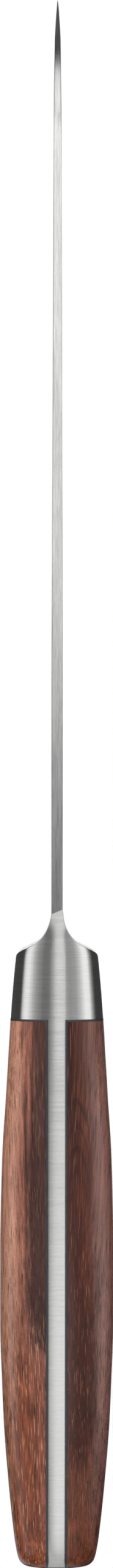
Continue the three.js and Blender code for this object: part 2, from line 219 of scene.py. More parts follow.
def finish_mesh(obj, sharp=38):
    """Brush map (U along the knife, or down the faces at its ends), smooth shading with creases."""
    mesh = obj.data
    layer = mesh.uv_layers.get("brush") or mesh.uv_layers.new(name="brush")
    co = np.zeros(len(mesh.vertices) * 3)
    mesh.vertices.foreach_get("co", co)
    co = co.reshape(-1, 3) - np.array([0, 0, HALF_MAX * MM])
    for poly in mesh.polygons:
        w = co[list(poly.vertices), 2]
        across = w.max() > 1e-6 and w.min() < -1e-6
        side = 1 if w.mean() >= 0 else -1
        facing_end, lean = abs(poly.normal.x) > 0.95, -1 if poly.normal.y > 0 else 1
        for li in poly.loop_indices:
            p = co[mesh.loops[li].vertex_index]
            if facing_end:
                layer.data[li].uv = (p[1] * 10, p[2] * 10)
            else:
                layer.data[li].uv = (p[0] * 10, -p[2] * 10 if across else -side * (p[1] + lean * abs(p[2])) * 10)
    mesh.polygons.foreach_set("use_smooth", [True] * len(mesh.polygons))
    mesh.set_sharp_from_angle(angle=math.radians(sharp))
    mesh.update()


def drill(u, v, radius, low, high, steps=48):
    """A round cutter along w."""
    mesh = bpy.data.meshes.new("cutter")
    bm = bmesh.new()
    bmesh.ops.create_cone(bm, cap_ends=True, segments=steps, radius1=radius * MM, radius2=radius * MM,
                          depth=(high - low) * MM)
    bm.to_mesh(mesh)
    bm.free()
    obj = bpy.data.objects.new("cutter", mesh)
    bpy.context.scene.collection.objects.link(obj)
    obj.matrix_world = Matrix.Translation(Vector(to_frame(u, v, (low + high) / 2)))
    return obj


def carve(obj, cutters):
    """Takes the cutters out of a piece, and out of the scene."""
    for c in cutters:
        mod = obj.modifiers.new("hole", "BOOLEAN")
        mod.operation, mod.object, mod.solver = "DIFFERENCE", c, "EXACT"
    bpy.context.view_layer.update()
    deps = bpy.context.evaluated_depsgraph_get()
    mesh = bpy.data.meshes.new_from_object(obj.evaluated_get(deps), preserve_all_data_layers=True, depsgraph=deps)
    obj.modifiers.clear()
    old = obj.data
    obj.data = mesh
    mesh.name = obj.name
    bpy.data.meshes.remove(old)
    for c in cutters:
        data = c.data
        bpy.data.objects.remove(c)
        bpy.data.meshes.remove(data)


BUTT = [0, 0.05, 0.12, 0.21, 0.32, 0.45, 0.6, 0.78, 1, 1.25, 1.55, 1.9, 2.3, 2.8, 3.4, 4.1, 5, 6, 7.2, 8.6, 10]
HANDLE = BUTT + list(np.arange(12, 103, 2.0))


def handle_middle(u):
    return float(top_line(u) + belly_line(u)) / 2


def forging(materials):
    """Blade, bolster and tang in one closed mesh. Face kinds: 0 bolster and tang, 1 spine, 2 flanks, 3 cutting bevel."""
    crown = np.array([0, 0.25, 0.5, 0.75, 1.0, 1.2, 1.35, 1.5, 1.53, 1.56, 1.58, 1.594, 1.6])
    steep = math.radians(75)
    turn = np.radians([18, 36, 54, 72, 90])  # round the corner between the back and the wall
    n_back = len(crown) + 12 + len(turn)

    def angles(a):
        t0 = math.asin(TANG_HALF / a)
        back = np.concatenate([np.arcsin(crown / a), np.linspace(t0, steep, 13)[1:], np.linspace(steep, math.pi / 2, 6)[1:]])
        return back, np.linspace(math.pi / 2, t0, 13)

    shoulder_a, shoulder_belly = float(half_width(SHOULDER)), float(belly_line(SHOULDER))
    shoulder_under = BELLY_SHARE * shoulder_a * (math.sqrt(1 - (TANG_HALF / shoulder_a) ** 2) - np.cos(angles(shoulder_a)[1]))

    def column(u, top, low):
        """Heights and half widths down one section, from the middle of the back to the belly's flat strip."""
        a = float(half_width(u))
        k, c0 = BELLY_SHARE * a, math.sqrt(1 - (TANG_HALF / a) ** 2)
        back, under = angles(a)
        if u <= SHOULDER:
            v1, v2 = top + float(back_share(u)) * a * (1 - np.cos(back)), low - k * (c0 - np.cos(under))
            side = np.linspace(v1[-1], v2[0], 12)[1:-1]
            return np.concatenate([v1, side, v2]), np.concatenate([a * np.sin(back), np.full(10, a), a * np.sin(under)])
        crowned = float(1 - smooth((u - 119.5) / (NECK - 119.5)))  # the back is crowned, the blade's spine flat

        def deep(x):
            return crowned * k * (1 - np.sqrt(1 - np.clip(x / a, 0, 1) ** 2))

        r = SPINE_ROUND * float(smooth((u - SHOULDER) / 1.2))
        edge_v = top
        for _ in range(4):
            cut = min(float(wall(u, edge_v)), a)
            r = min(r, 0.3 * cut)
            edge_v = top + float(deep(cut)) + r
        free = np.concatenate([(cut - r) * np.sin(back[:-5]) / math.sin(steep), cut - r + r * np.sin(turn)])
        t = float(smooth((u - SHOULDER) / 0.8))
        x = (1 - t) * cut * np.sin(back) + t * free
        v1 = top + deep(x) + (r - np.sqrt(np.maximum(0, r * r - np.clip(x - (cut - r), 0, r) ** 2)))
        # the belly's rows start on the edge that the wall cuts, and spread over the flank behind the heel
        if u <= HEEL_U:
            crease_v = low
            for _ in range(12):
                crease = min(max(float(wall(u, crease_v)), TANG_HALF), a)
                crease_v = low - k * (c0 - math.sqrt(1 - (crease / a) ** 2))
            v2 = low - k * (c0 - np.cos(np.linspace(math.asin(crease / a), math.asin(TANG_HALF / a), len(under))))
        else:
            v2 = low - float(smooth((u - HEEL_U) / 8)) * shoulder_under * (low - top) / shoulder_belly
        side = np.linspace(v1[-1], v2[0], 12)[1:-1]
        v = np.concatenate([v1, side, v2])
        rest = v[n_back:]
        w = wall(u, rest)
        if u < NECK:
            belly = float(belly_line(u))
            round_under = np.maximum(TANG_HALF, a * np.sqrt(1 - np.clip(c0 - (belly - rest) / k, 0, 1) ** 2))
            w = np.where(rest <= belly + 1e-9, np.minimum(w, round_under), below(u, rest))
        return v, np.concatenate([x, w])

    tang = HANDLE + [BOLSTER_REAR]
    bolster = ([BOLSTER_REAR, 104.3, 105] + list(np.arange(106, 114.1, 1.0)) + [114.6, SHOULDER]
               + list(np.arange(115.1, 119.61, 0.15)) + [119.8, 120.1, 120.4, 120.7, 121, HEEL_U, 121.6, 122.1, 122.7, 123.3, 123.8, NECK])
    blade = ([124.8, 125.6, 126.8] + list(np.arange(128.5, 256, 2.5)) + list(np.arange(256, 290, 1.0))
             + list(np.arange(290, 299, 0.5)) + [299, 299.3, 299.6, 299.8, 300])
    cols = [(u, True) for u in tang] + [(float(u), False) for u in bolster + blade]
    heel = next(i for i, (u, t) in enumerate(cols) if not t and abs(u - HEEL_U) < 1e-6)
    last = len(cols) - 1
    upper = []
    for u, is_tang in cols:
        top = float(top_line(u)) if is_tang else float(spine_line(u))
        low = float(belly_line(u)) if u <= HEEL_U else top + MID_SHARE * (float(bevel_line(u)) - top)
        v, w = column(u, top, low)
        if is_tang:
            w = np.minimum(TANG_HALF, w)
            d = np.clip(w - (TANG_HALF - TANG_ROUND), 0, TANG_ROUND)[:len(crown)]
            v[:len(crown)] += TANG_ROUND - np.sqrt(TANG_ROUND ** 2 - d ** 2)
        # the line where the spine's finish ends runs a little askew
        lean = 0.42 * math.exp(-((u - NECK) / 1.3) ** 2) if not is_tang else 0.0
        fade = np.clip(1 - (v - top) / 3, 0, 1)
        upper.append([(u, float(v[j]), float(w[j]), lean * float(fade[j])) for j in range(len(v))])
    m = len(upper[0]) - 1
    steps = [0, 0.03, 0.07, 0.12, 0.18, 0.25, 0.33, 0.42, 0.51, 0.6, 0.69, 0.78, 0.86, 0.93, 1]
    n = len(steps) - 1
    lower, apex = [None] * (last + 1), [None] * (last + 1)
    for i in range(heel, last + 1):
        u = cols[i][0]
        start = upper[i][m][1]
        fade = np.clip(1 - (u - HEEL_U) / HEEL_REACH, 0, 1) ** 2
        col = [upper[i][m]]
        for g in steps[1:]:
            uu = u + (float(heel_line(HEEL[0][0] + g * (HEEL[-1][0] - HEEL[0][0]))) - HEEL_U) * fade
            v = start + g * (float(bevel_line(uu)) - start)
            col.append((uu, v, float(below(uu, np.float64(v))), 0.0))
        lower[i] = col
        apex[i] = (*EDGE[0], 0.0, 0.0) if i == heel else (col[n][0], float(edge_line(col[n][0])), 0.0, 0.0)

    def left(p):
        return (p[0] - p[2] * p[3], p[1], p[2])

    def right(p):
        return (p[0] + p[2] * p[3], p[1], -p[2])

    s = Skin()

    def both(a, b, c, d, kind):
        s.quad(left(a), left(b), left(c), left(d), kind)
        s.quad(right(a), right(d), right(c), right(b), kind)

    def across(a, b, kind):
        s.quad(left(a), right(a), right(b), left(b), kind)

    for i in range(last):
        on_blade = cols[i][0] >= NECK - 1e-6
        for j in range(m):
            both(upper[i][j], upper[i + 1][j], upper[i + 1][j + 1], upper[i][j + 1],
                 (1 if j < n_back - 1 else 2) if on_blade else 0)
        across(upper[i][0], upper[i + 1][0], 1 if on_blade else 0)
        if i < heel:
            across(upper[i + 1][m], upper[i][m], 0)
        else:
            for k in range(n):
                both(lower[i][k], lower[i + 1][k], lower[i + 1][k + 1], lower[i][k + 1], 2 if on_blade else 0)
            both(lower[i][n], lower[i + 1][n], apex[i + 1], apex[i], 3)
    for j in range(m):
        across(upper[0][j + 1], upper[0][j], 0)
    level = next(j for j in range(1, m) if upper[last][j][1] > upper[last][0][1] + 0.001)  # the rows above lie level at the point
    s.face([left(p) for p in upper[last][level::-1]] + [right(p) for p in upper[last][:level + 1]], 1)
    for j in range(level, m):
        across(upper[last][j], upper[last][j + 1], 1)
    for k in range(n):
        across(lower[heel][k + 1], lower[heel][k], 0)
        across(lower[last][k], lower[last][k + 1], 1)
    across(apex[heel], lower[heel][n], 3)
    across(lower[last][n], apex[last], 3)
    return s.build("forged_blade", materials)


def side_body(name, us, inner, side, materials, limit=None):
    """The part of the handle outside a plane at half width `inner`. limit[i] caps the half width at station i."""
    s, cols = Skin(), []
    for i, u in enumerate(us):
        a, top, belly = float(half_width(u)), float(top_line(u)), float(belly_line(u))
        k, t0, c0 = BELLY_SHARE * a, math.asin(inner / a), math.sqrt(1 - (TANG_HALF / a) ** 2)
        t = np.linspace(t0, math.pi / 2, 22)
        tb = np.linspace(math.pi / 2, t0, 14)
        v1, v2 = top + float(back_share(u)) * a * (1 - np.cos(t)), belly - k * (c0 - np.cos(tb))
        mid = np.linspace(v1[-1], v2[0], 8)[1:-1]
        v = np.concatenate([v1, mid, v2])
        x = np.concatenate([a * np.sin(t), np.full(len(mid), a), a * np.sin(tb)])
        if limit:
            x = np.minimum(x, limit[i])
        cols.append([(float(u), float(v[j]), float(x[j])) for j in range(len(v))])
    m, last = len(cols[0]) - 1, len(cols) - 1

    def hi(i, j):
        u, v, x = cols[i][j]
        return (u, v, side * x)

    def lo(i, j):
        u, v, _ = cols[i][j]
        return (u, v, side * inner)

    for i in range(last):
        for j in range(m):
            s.quad(hi(i, j), hi(i + 1, j), hi(i + 1, j + 1), hi(i, j + 1))
            s.quad(lo(i, j), lo(i, j + 1), lo(i + 1, j + 1), lo(i + 1, j))
    for j in range(m):
        s.quad(hi(0, j), hi(0, j + 1), lo(0, j + 1), lo(0, j))
        s.quad(hi(last, j), lo(last, j), lo(last, j + 1), hi(last, j + 1))
    return s.build(name, materials)


def rivet(name, u0, side, materials, steps=48):
    """One half of a two-part cutler's rivet. The head follows the handle's side and has a fine broken edge."""
    v0, a = handle_middle(u0), float(half_width(u0))
    seat = a - HEAD_DEPTH
    head = [(0, None, 0), (0.8, None, 0), (1.6, None, 0), (2.4, None, 0), (3.0, None, 0), (3.2, None, 0.004),
            (3.27, None, 0.03), (HEAD_RADIUS, None, 0.09)]
    if side > 0:
        rest = [(HEAD_RADIUS, seat), (TUBE_RADIUS, seat), (TUBE_RADIUS, TUBE_END + 0.2), (TUBE_RADIUS - 0.2, TUBE_END),
                (BORE_RADIUS, TUBE_END), (BORE_RADIUS, BORE_END), (0, BORE_END)]
    else:
        rest = [(HEAD_RADIUS, -seat), (PIN_RADIUS, -seat), (PIN_RADIUS, PIN_END - 0.3), (PIN_RADIUS - 0.3, PIN_END),
                (0, PIN_END)]
    rings = []
    for ring in head + rest:
        pts = []
        for q in range(steps):
            f = 2 * math.pi * q / steps
            u, v = u0 + ring[0] * math.cos(f), v0 + ring[0] * math.sin(f)
            if ring[1] is None:
                w = side * (float(section(u, v, float(top_line(u)), float(belly_line(u)))) - ring[2])
            else:
                w = ring[1]
            pts.append((u, v, w))
        rings.append(pts)
    s = Skin()
    for a_ring, b_ring in zip(rings, rings[1:]):
        for q in range(steps):
            r = (q + 1) % steps
            s.quad(a_ring[q], a_ring[r], b_ring[r], b_ring[q])
    return s.build(name, materials)


# ---- materials ----------------------------------------------------------------------------------------------
class Nodes:
    """A material's node tree with short ways to add to it. Lengths are in the part's own coordinates."""

    def __init__(self, name):
        self.material = bpy.data.materials.new(name)
        self.material.use_nodes = True
        self.tree = self.material.node_tree
        self.tree.nodes.clear()
        self.shader = self.add("ShaderNodeBsdfPrincipled")
        out = self.add("ShaderNodeOutputMaterial")
        self.link(self.shader.outputs["BSDF"], out.inputs["Surface"])
        self.where = self.add("ShaderNodeTexCoord").outputs["Object"]

    def add(self, kind):
        return self.tree.nodes.new(kind)

    def link(self, a, b):
        self.tree.links.new(a, b)

    def feed(self, value, socket):
        if isinstance(value, bpy.types.NodeSocket):
            self.link(value, socket)
        else:
            socket.default_value = value

    def scaled(self, per_mm, seed=0.0, source=None):
        m = self.add("ShaderNodeMapping")
        m.inputs["Scale"].default_value = [s * 1000 for s in per_mm]
        m.inputs["Location"].default_value = (seed * 3.1, seed * 7.7, seed * 5.3)
        self.link(source or self.where, m.inputs["Vector"])
        return m.outputs["Vector"]

    def noise(self, per_mm, seed=0.0, detail=2.0, rough=0.5, source=None, distortion=0.0):
        n = self.add("ShaderNodeTexNoise")
        n.inputs["Scale"].default_value = 1.0
        n.inputs["Detail"].default_value = detail
        n.inputs["Roughness"].default_value = rough
        n.inputs["Distortion"].default_value = distortion
        self.link(self.scaled(per_mm, seed, source), n.inputs["Vector"])
        return n.outputs["Fac"]

    def math(self, op, a, b=0.0, clamp=False):
        n = self.add("ShaderNodeMath")
        n.operation, n.use_clamp = op, clamp
        self.feed(a, n.inputs[0])
        self.feed(b, n.inputs[1])
        return n.outputs[0]

    def remap(self, value, a, b, c=0.0, d=1.0, smoothly=True):
        n = self.add("ShaderNodeMapRange")
        n.interpolation_type = "SMOOTHSTEP" if smoothly else "LINEAR"
        n.clamp = True
        self.feed(value, n.inputs["Value"])
        for key, x in (("From Min", a), ("From Max", b), ("To Min", c), ("To Max", d)):
            n.inputs[key].default_value = x
        return n.outputs["Result"]

    def ramp(self, value, stops):
        n = self.add("ShaderNodeValToRGB")
        e = n.color_ramp.elements
        while len(e) < len(stops):
            e.new(0.5)
        for el, (pos, colour) in zip(e, stops):
            el.position, el.color = pos, (*colour, 1)
        self.feed(value, n.inputs["Fac"])
        return n.outputs["Color"]

    def mix(self, factor, a, b, mode="MIX"):
        n = self.add("ShaderNodeMix")
        n.data_type, n.blend_type = "RGBA", mode
        self.feed(factor, n.inputs["Factor"])
        for value, socket in ((a, n.inputs[6]), (b, n.inputs[7])):
            self.feed(value if isinstance(value, bpy.types.NodeSocket) else (*value, 1), socket)
        return n.outputs[2]

    def axis(self, name):
        n = self.add("ShaderNodeSeparateXYZ")
        self.link(self.where, n.inputs[0])
        return n.outputs[name]

    def bump(self, height, distance_mm, strength=1.0):
        n = self.add("ShaderNodeBump")
        n.inputs["Strength"].default_value = strength
        n.inputs["Distance"].default_value = distance_mm * MM
        self.link(height, n.inputs["Height"])
        self.link(n.outputs["Normal"], self.shader.inputs["Normal"])

    def tangent(self):
        n = self.add("ShaderNodeTangent")
        n.direction_type, n.uv_map = "UV_MAP", "brush"
        self.link(n.outputs["Tangent"], self.shader.inputs["Tangent"])


def steel(name, lines, tone, rough, aniso, turn, scratch=0.012, seed=0.0, streak=0.12):
    """Brushed stainless steel. lines: scratch frequency per mm along x, y, z."""
    t = Nodes(name)
    fine = t.noise(lines, seed, 3.0, 0.65)
    broad = t.noise([c * 0.22 for c in lines], seed + 2, 2.0, 0.5)
    cloud = t.noise((0.05, 0.12, 0.12), seed + 4, 3.0, 0.55)
    value = t.math("ADD", t.math("MULTIPLY", fine, 0.5), t.math("ADD", t.math("MULTIPLY", broad, 0.35), t.math("MULTIPLY", cloud, 0.15)))
    lo, hi = [c * (1 - streak) for c in tone], [min(1, c * (1 + streak)) for c in tone]
    t.link(t.ramp(value, [(0.3, lo), (0.5, tone), (0.7, hi)]), t.shader.inputs["Base Color"])
    t.link(t.remap(t.math("ADD", t.math("MULTIPLY", broad, 0.6), t.math("MULTIPLY", cloud, 0.4)), 0.3, 0.7, rough[0], rough[1]),
           t.shader.inputs["Roughness"])
    t.shader.inputs["Metallic"].default_value = 1.0
    t.shader.inputs["Anisotropic"].default_value = aniso
    t.shader.inputs["Anisotropic Rotation"].default_value = turn
    t.tangent()
    t.bump(t.math("ADD", t.math("MULTIPLY", fine, 0.7), t.math("MULTIPLY", broad, 0.3)), scratch, 0.5)
    return t.material


def wood(name, side, seed, look):
    """Oiled open-pored hardwood, its grain along the handle. side is +1 for the left scale; look holds the colours and
    where the dark heartwood, the paler outer layers and the redder rear lie (millimetres across and along). On the
    right scale the outer colour is paler outer wood with a blue-grey cast that is painted sheen."""
    t = Nodes(name)
    # fibres wander a little
    wander = t.add("ShaderNodeTexNoise")
    wander.inputs["Scale"].default_value = 1.0
    wander.inputs["Detail"].default_value = 1.0
    t.link(t.scaled((0.016, 0.05, 0.05), seed + 9), wander.inputs["Vector"])
    shift = t.add("ShaderNodeVectorMath")
    shift.operation = "MULTIPLY_ADD"
    t.link(wander.outputs["Color"], shift.inputs[0])
    shift.inputs[1].default_value = (0.0, 0.006, 0.006)
    t.link(t.where, shift.inputs[2])
    bent = shift.outputs[0]
    figure = t.noise((0.007, 0.22, 0.22), seed, 3.0, 0.5, bent)
    streaks = t.noise((0.022, 1.3, 1.3), seed + 1, 3.0, 0.6, bent)
    fibres = t.noise((0.07, 7.0, 7.0), seed + 2, 2.0, 0.6, bent)
    grains = t.noise((2.6, 9.0, 9.0), seed + 4, 1.0, 0.5, bent)
    flecks = t.noise((look["fleck_along"], 2.0, 7.5), seed + 3, 0.5, 0.5, bent)
    pores = t.noise((0.20, 2.4, 8.0), seed + 5, 0.5, 0.5, bent)
    patch = t.noise((0.05, 0.16, 0.16), seed + 7, 2.0, 0.55, bent)
    mottle = t.noise((0.22, 0.60, 0.60), seed + 8, 2.0, 0.5, bent)

    def off(value, scale):
        return t.math("MULTIPLY", t.math("SUBTRACT", value, 0.5), scale)

    x = t.math("MULTIPLY", t.axis("X"), 1000.0)
    u = t.math("ADD", x, off(patch, 22.0))
    w = t.math("MULTIPLY", t.math("SUBTRACT", t.axis("Z"), HALF_MAX * MM), 1000.0 * side)
    reach = t.math("ADD", w, t.math("ADD", off(figure, 3.4), off(streaks, 2.2)))
    outer = t.remap(t.math("SUBTRACT", reach, t.remap(u, *look["outer_front"])), *look["outer"])
    frayed = t.math("ADD", u, t.math("ADD", off(streaks, 34.0), off(fibres, 16.0)))
    swell = t.math("ADD", t.remap(frayed, *look["heart_rear"], *look["heart_swell"]), t.remap(u, *look["heart_front"]))
    heart = t.remap(t.math("SUBTRACT", reach, swell), *look["heart"], 1.0, 0.0)
    rear = t.remap(u, *look["rear"], 1.0, 0.0)

    base = t.ramp(t.math("ADD", t.math("MULTIPLY", figure, 0.55), t.math("MULTIPLY", streaks, 0.45)), look["ramp"])
    colour = t.mix(t.math("MULTIPLY", rear, 0.8), base, look["rear_colour"])
    colour = t.mix(t.math("MULTIPLY", outer, t.math("SUBTRACT", look["outer_mix"], t.math("MULTIPLY", rear, look["outer_mix"] * 0.45))),
                   colour, look["outer_colour"])
    core = t.mix(1.0, look["heart_colour"], t.remap(u, *look["heart_tone"]), "MULTIPLY")
    colour = t.mix(t.math("MULTIPLY", heart, look["heart_mix"]), colour, core)
    # lengthwise shading of the fibres, and a cloudier one where the wood is redder
    shade = t.math("ADD", t.math("ADD", 1.0, off(streaks, 0.75)), t.math("ADD", off(fibres, 1.0), off(grains, 0.95)))
    shade = t.math("ADD", shade, t.math("MULTIPLY", off(mottle, 1.7), t.math("ADD", t.math("MULTIPLY", rear, 0.8), 0.2)))
    # the gain ramp brightens the colour toward the front of the handle; on the right scale it is partly painted sheen,
    # following the sheen band that is brighter near the bolster
    shade = t.math("MULTIPLY", shade, t.remap(u, *look["gain"], smoothly=False))
    colour = t.mix(1.0, colour, shade, "MULTIPLY")
    # arched growth rings where the cut grazes them
    if "arch" in look:
        u0, w0, bend = look["arch"]
        along = t.math("SUBTRACT", x, u0)
        aside = t.math("SUBTRACT", w, w0)
        rise = t.math("ADD", along, t.math("MULTIPLY", t.math("MULTIPLY", aside, aside), bend))
        rings = t.math("SINE", t.math("ADD", t.math("MULTIPLY", rise, 1.35), off(patch, 7.0)))
        inside = t.math("MULTIPLY", t.remap(t.math("ABSOLUTE", aside), 1.0, 3.2, 1.0, 0.0),
                        t.math("MULTIPLY", t.remap(rise, -22.0, -12.0), t.remap(rise, -1.0, 1.5, 1.0, 0.0)))
        colour = t.mix(t.math("MULTIPLY", t.math("MULTIPLY", t.remap(rings, 0.0, 1.0), inside), 0.6), colour,
                       [c * 0.55 for c in look["heart_colour"]])
    dark_line = t.remap(streaks, 0.30, 0.40, 0.40, 0.0)
    colour = t.mix(dark_line, colour, (0.020, 0.009, 0.008))
    pore_mask = t.remap(pores, 0.60, 0.68, 0.0, 0.75)
    colour = t.mix(pore_mask, colour, (0.012, 0.006, 0.005))
    crowd = t.remap(u, *look["fleck_from"], *look["fleck"])
    fleck_mask = t.math("MULTIPLY", t.remap(flecks, *look["fleck_cut"]), crowd)
    colour = t.mix(fleck_mask, colour, look["fleck_colour"])
    t.link(colour, t.shader.inputs["Base Color"])
    t.link(t.remap(t.math("ADD", t.math("MULTIPLY", fibres, 0.6), t.math("MULTIPLY", patch, 0.4)), 0.3, 0.7, *look["rough"]),
           t.shader.inputs["Roughness"])
    t.shader.inputs["IOR"].default_value = 1.47
    height = t.math("SUBTRACT", t.math("ADD", t.math("MULTIPLY", fibres, 0.35), t.math("MULTIPLY", streaks, 0.25)),
                    t.math("ADD", pore_mask, t.math("MULTIPLY", fleck_mask, 0.4)))
    t.bump(height, 0.012, 0.4)
    return t.material


def fibre(name, seed):
    """Black vulcanised fibre: dense, with faint lint and sanding lines."""
    t = Nodes(name)
    lint = t.noise((0.7, 5.0, 5.0), seed, 2.0, 0.6)
    speck = t.noise((3.0, 3.0, 3.0), seed + 1, 3.0, 0.65)
    t.link(t.ramp(t.math("ADD", t.math("MULTIPLY", lint, 0.5), t.math("MULTIPLY", speck, 0.5)),
                  [(0.3, (0.010, 0.011, 0.013)), (0.55, (0.020, 0.022, 0.025)), (0.75, (0.042, 0.044, 0.048))]),
           t.shader.inputs["Base Color"])
    t.link(t.remap(speck, 0.3, 0.7, 0.52, 0.72), t.shader.inputs["Roughness"])
    t.bump(t.math("ADD", lint, speck), 0.015, 0.4)
    return t.material


cross_steel = steel("satin_steel_crosswise", (9.0, 0.30, 0.30), (0.62, 0.62, 0.615), (0.24, 0.28), 0.88, 0.0, 0.004, 1.0, 0.12)
spine_steel = steel("brushed_steel_lengthwise", (0.20, 0.20, 6.0), (0.62, 0.62, 0.615), (0.21, 0.24), 0.92, 0.25, 0.003, 11.0, 0.34)
flank_steel = steel("satin_steel_blade", (9.0, 0.07, 0.5), (0.60, 0.60, 0.60), (0.32, 0.37), 0.55, 0.0, 0.005, 21.0, 0.07)
bevel_steel = steel("ground_steel_edge", (8.0, 0.4, 0.4), (0.66, 0.66, 0.66), (0.18, 0.25), 0.3, 0.0, 0.006, 31.0, 0.06)
rivet_metal = steel("satin_steel_rivet", (0.35, 8.0, 8.0), (0.60, 0.60, 0.59), (0.30, 0.38), 0.5, 0.25, 0.006, 41.0, 0.10)

LEFT_WOOD = {
    "ramp": [(0.36, (0.090, 0.029, 0.017)), (0.46, (0.140, 0.047, 0.028)), (0.55, (0.175, 0.062, 0.038)), (0.66, (0.225, 0.087, 0.056))],
    "outer": (6.8, 8.7), "outer_front": (-78.0, -54.0, 0.0, -1.0), "outer_mix": 0.92, "outer_colour": (0.310, 0.148, 0.100),
    "heart": (3.4, 5.6), "heart_rear": (-119.0, -98.0), "heart_swell": (-6.0, 1.2), "heart_front": (-77.0, -50.0, 0.0, -1.1),
    "heart_mix": 0.96, "heart_colour": (0.028, 0.0092, 0.0072), "heart_tone": (-80.0, -56.0, 1.0, 0.85),
    "gain": (-118.0, -46.0, 0.86, 1.50),
    "rear": (-122.0, -100.0), "rear_colour": (0.160, 0.036, 0.0130),
    "fleck_from": (-114.0, -98.0), "fleck": (0.85, 0.18), "fleck_along": 0.27, "fleck_cut": (0.62, 0.71), "fleck_colour": (0.44, 0.190, 0.090), "rough": (0.20, 0.30),
}
RIGHT_WOOD = {
    "ramp": [(0.36, (0.0225, 0.0043, 0.0020)), (0.46, (0.036, 0.0074, 0.0034)), (0.55, (0.049, 0.0103, 0.0048)), (0.66, (0.073, 0.0180, 0.0090))],
    # outer colour: paler outer wood, with a blue-grey cast painted in as part of the sheen band that lies over it
    "outer": (6.3, 9.4), "outer_front": (-78.0, -54.0, 0.0, -0.8), "outer_mix": 0.90, "outer_colour": (0.182, 0.083, 0.067),
    "heart": (4.0, 6.0), "heart_rear": (-134.0, -120.0), "heart_swell": (-5.0, 0.0), "heart_front": (-80.0, -56.0, 0.0, -0.6),
    "heart_mix": 0.88, "heart_colour": (0.0285, 0.0053, 0.0025), "heart_tone": (-72.0, -60.0, 1.1, 0.45),
    # the gain ramp here is partly painted sheen: it brightens the front, where the sheen band is brightest
    "gain": (-118.0, -56.0, 0.98, 1.32),
    "rear": (-142.0, -126.0), "rear_colour": (0.108, 0.032, 0.0150),
    "fleck_from": (-100.0, -70.0), "fleck": (0.62, 0.50), "fleck_along": 0.17, "fleck_cut": (0.63, 0.72), "fleck_colour": (0.19, 0.080, 0.049), "rough": (0.20, 0.30),
    "arch": (-57.5, 3.7, 1.1),
}
wood_left = wood("oiled_wood_left", 1, 3.0, LEFT_WOOD)
wood_right = wood("oiled_wood_right", -1, 57.0, RIGHT_WOOD)
black_fibre = fibre("black_fibre", 5.0)

# ---- pieces -------------------------------------------------------------------------------------------------
blade = forging([cross_steel, spine_steel, flank_steel, bevel_steel])
carve(blade, [drill(u, handle_middle(u), TUBE_RADIUS + CLEARANCE, -13, 13) for _, u in RIVETS])
made = [(blade, "blade_forging", "blade_steel", 30)]
for side, word, grain in ((1, "left", wood_left), (-1, "right", wood_right)):
    scale = side_body(f"handle_scale_{word}", HANDLE + [SCALE_FRONT - 0.25, SCALE_FRONT], SCALE_IN, side, [grain])
    cutters = []
    for _, u in RIVETS:
        seat = float(half_width(u)) - HEAD_DEPTH - CLEARANCE
        cutters.append(drill(u, handle_middle(u), TUBE_RADIUS + CLEARANCE, -13, 13))
        cutters.append(drill(u, handle_middle(u), HEAD_RADIUS + CLEARANCE, *((seat, 13) if side > 0 else (-13, -seat))))
    carve(scale, cutters)
    made.append((scale, f"scale_{word}", "scale_wood", 38))
    stations = HANDLE + [LEG_REAR, LEG_REAR, LEG_FRONT]
    limits = [LINER_OUT] * (len(HANDLE) + 1) + [99.0, 99.0]
    liner = side_body(f"handle_liner_{word}", stations, LINER_IN, side, [black_fibre], limits)
    carve(liner, [drill(u, handle_middle(u), TUBE_RADIUS + CLEARANCE, -13, 13) for _, u in RIVETS])
    made.append((liner, f"liner_{word}", "liner_fibre", 38))
for word, u in RIVETS:
    made.append((rivet(f"rivet_{word}_tube", u, 1, [rivet_metal]), f"rivet_{word}_female", "rivet_steel", 38))
    made.append((rivet(f"rivet_{word}_pin", u, -1, [rivet_metal]), f"rivet_{word}_male", "rivet_steel", 38))
for obj, node, slot, sharp in made:
    finish_mesh(obj, sharp)
    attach(obj, "root")
    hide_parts(node)

# ---- floor, light and camera --------------------------------------------------------------------------------
floor_mesh = bpy.data.meshes.new("floor")
floor_mesh.from_pydata([(-30, -30, -0.0005), (30, -30, -0.0005), (30, 30, -0.0005), (-30, 30, -0.0005)], [], [(0, 1, 2, 3)])
floor = bpy.data.objects.new("floor", floor_mesh)
bpy.context.scene.collection.objects.link(floor)
pale = Nodes("pale_floor")
pale.link(pale.ramp(pale.noise((0.002, 0.002, 0.002), 3.0, 4.0), [(0.3, (0.80, 0.80, 0.80)), (0.7, (0.84, 0.84, 0.84))]),
          pale.shader.inputs["Base Color"])
pale.shader.inputs["Roughness"].default_value = 0.9
pale.shader.inputs["Emission Color"].default_value = (1, 1, 1, 1)
spread = pale.add("ShaderNodeVectorMath")
spread.operation = "LENGTH"
pale.link(pale.where, spread.inputs[0])
pale.link(pale.remap(spread.outputs["Value"], 0.25, 1.1, 0.68, 1.10), pale.shader.inputs["Emission Strength"])
floor_mesh.materials.append(pale.material)
floor.visible_glossy = False
floor.visible_diffuse = False
floor.visible_shadow = False

world = bpy.data.worlds.new("studio")
bpy.context.scene.world = world
world.use_nodes = True
wt = world.node_tree
wt.nodes.clear()
w_out = wt.nodes.new("ShaderNodeOutputWorld")
w_mix = wt.nodes.new("ShaderNodeMixShader")
w_path = wt.nodes.new("ShaderNodeLightPath")
w_dim = wt.nodes.new("ShaderNodeBackground")
w_white = wt.nodes.new("ShaderNodeBackground")
w_dim.inputs["Color"].default_value = (0.060, 0.060, 0.060, 1)
w_white.inputs["Color"].default_value = (1, 1, 1, 1)
wt.links.new(w_path.outputs["Is Camera Ray"], w_mix.inputs["Fac"])
wt.links.new(w_dim.outputs[0], w_mix.inputs[1])
wt.links.new(w_white.outputs[0], w_mix.inputs[2])
wt.links.new(w_mix.outputs[0], w_out.inputs["Surface"])


